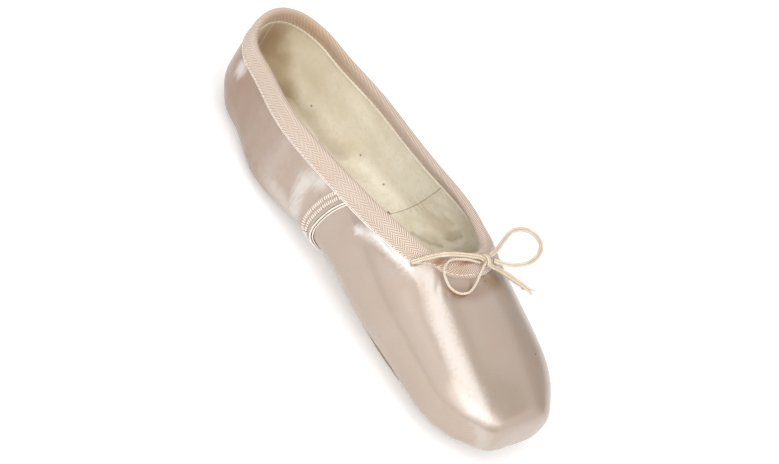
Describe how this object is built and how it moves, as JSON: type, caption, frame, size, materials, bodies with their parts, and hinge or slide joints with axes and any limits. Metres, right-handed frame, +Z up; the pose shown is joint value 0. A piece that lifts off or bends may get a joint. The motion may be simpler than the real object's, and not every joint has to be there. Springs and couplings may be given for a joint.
{
  "type": "pointe shoe",
  "caption": "Satin pointe shoe on a straight last: stiff toe box with a flat platform, pleats over a short leather outsole, and a bound collar whose drawstring is tied in a small bow",
  "frame": {"origin": "on the floor under the middle of the shoe's length and width, with the heel and the ball of the sole resting on z = 0", "axes": "+X from the heel to the toe, +Y to the shoe's left, +Z up"},
  "size_m": [0.239, 0.0774, 0.0643],
  "materials": {
    "satin": "pink satin with a soft sheen",
    "twill_tape": "matt pink herringbone tape",
    "sole_leather": "matt tan split leather with brown cut edges",
    "canvas": "matt cream cotton canvas",
    "cord": "matt cream cotton braid"
  },
  "bodies": {
    "root": {"upper": "satin", "outsole": "sole_leather", "insole": "canvas", "collar_binding": "twill_tape", "drawstring": "cord", "bow_knot": "cord", "bow_loop_left": "cord", "bow_loop_right": "cord", "bow_end_long": "cord", "bow_end_short": "cord"}
  },
  "joints": []
}
